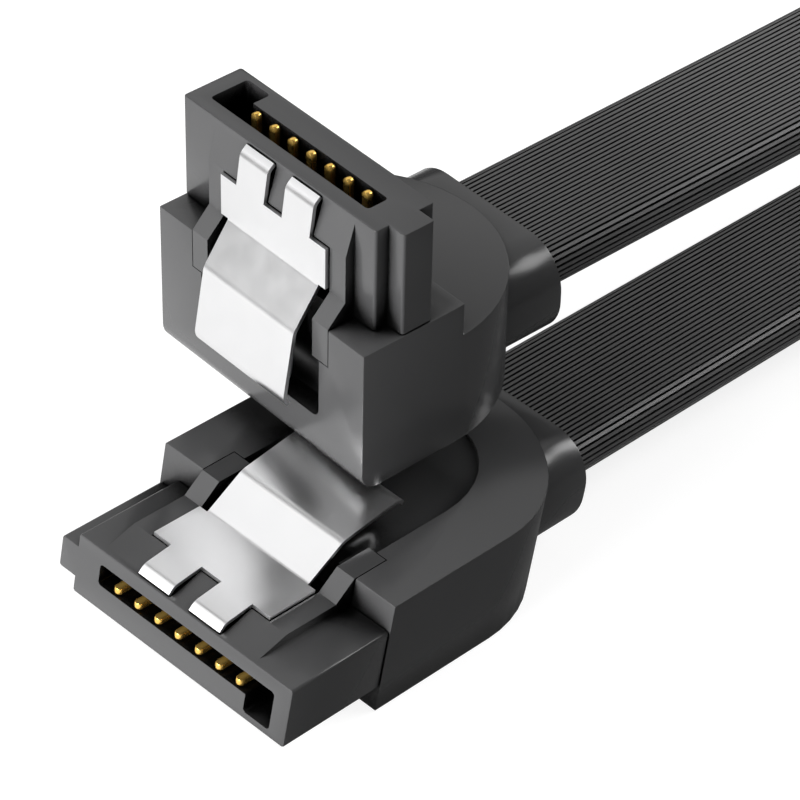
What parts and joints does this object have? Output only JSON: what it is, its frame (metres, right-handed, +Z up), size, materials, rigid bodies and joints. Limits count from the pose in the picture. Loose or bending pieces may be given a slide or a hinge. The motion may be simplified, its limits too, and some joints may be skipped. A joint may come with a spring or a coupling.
{
  "type": "sata data cable",
  "caption": "Flat ribbed data cable with a straight plug and a right-angle plug, each with a sprung steel latch, folded and tied.",
  "frame": {"origin": "on the flat underside of the straight plug's overmold, 12 mm behind its mouth, on its middle line", "axes": "+X from the straight plug's mouth towards its cable, +Y to the side of its locating tab, +Z up"},
  "size_m": [0.2195, 0.0202, 0.0214],
  "materials": {
    "shell_plastic": "satin black moulded plastic",
    "overmold_plastic": "satin black moulded plastic",
    "spring_steel": "bright rolled spring steel",
    "gold_contact": "gold plated",
    "cable_jacket": "black ribbed vinyl jacket",
    "tie_fabric": "black woven hook-and-loop band"
  },
  "bodies": {
    "cable_and_plugs": {"straight_plug_housing": "shell_plastic", "straight_contact_1": "gold_contact", "straight_contact_2": "gold_contact", "straight_contact_3": "gold_contact", "straight_contact_4": "gold_contact", "straight_contact_5": "gold_contact", "straight_contact_6": "gold_contact", "straight_contact_7": "gold_contact", "straight_overmold": "overmold_plastic", "angled_plug_housing": "shell_plastic", "angled_contact_1": "gold_contact", "angled_contact_2": "gold_contact", "angled_contact_3": "gold_contact", "angled_contact_4": "gold_contact", "angled_contact_5": "gold_contact", "angled_contact_6": "gold_contact", "angled_contact_7": "gold_contact", "angled_overmold": "overmold_plastic", "cable_straight_run": "cable_jacket", "cable_angled_run": "cable_jacket", "cable_hank": "cable_jacket", "cable_tie": "tie_fabric"},
    "straight_latch": {"straight_latch_spring": "spring_steel"},
    "angled_latch": {"angled_latch_spring": "spring_steel"}
  },
  "joints": [
    {"name": "straight_latch_flex", "type": "hinge", "parent": "cable_and_plugs", "child": "straight_latch", "pos_m": [-0.00155, 0, 0.00673], "axis": [0, -1, 0], "range_deg": [0, 2], "stiffness_Nm_per_rad": 0.3},
    {"name": "angled_latch_flex", "type": "hinge", "parent": "cable_and_plugs", "child": "angled_latch", "pos_m": [-0.00268, 0.00545, 0.0108], "axis": [0.1161, 0.9912, -0.0635], "range_deg": [0, 2], "stiffness_Nm_per_rad": 0.3}
  ]
}
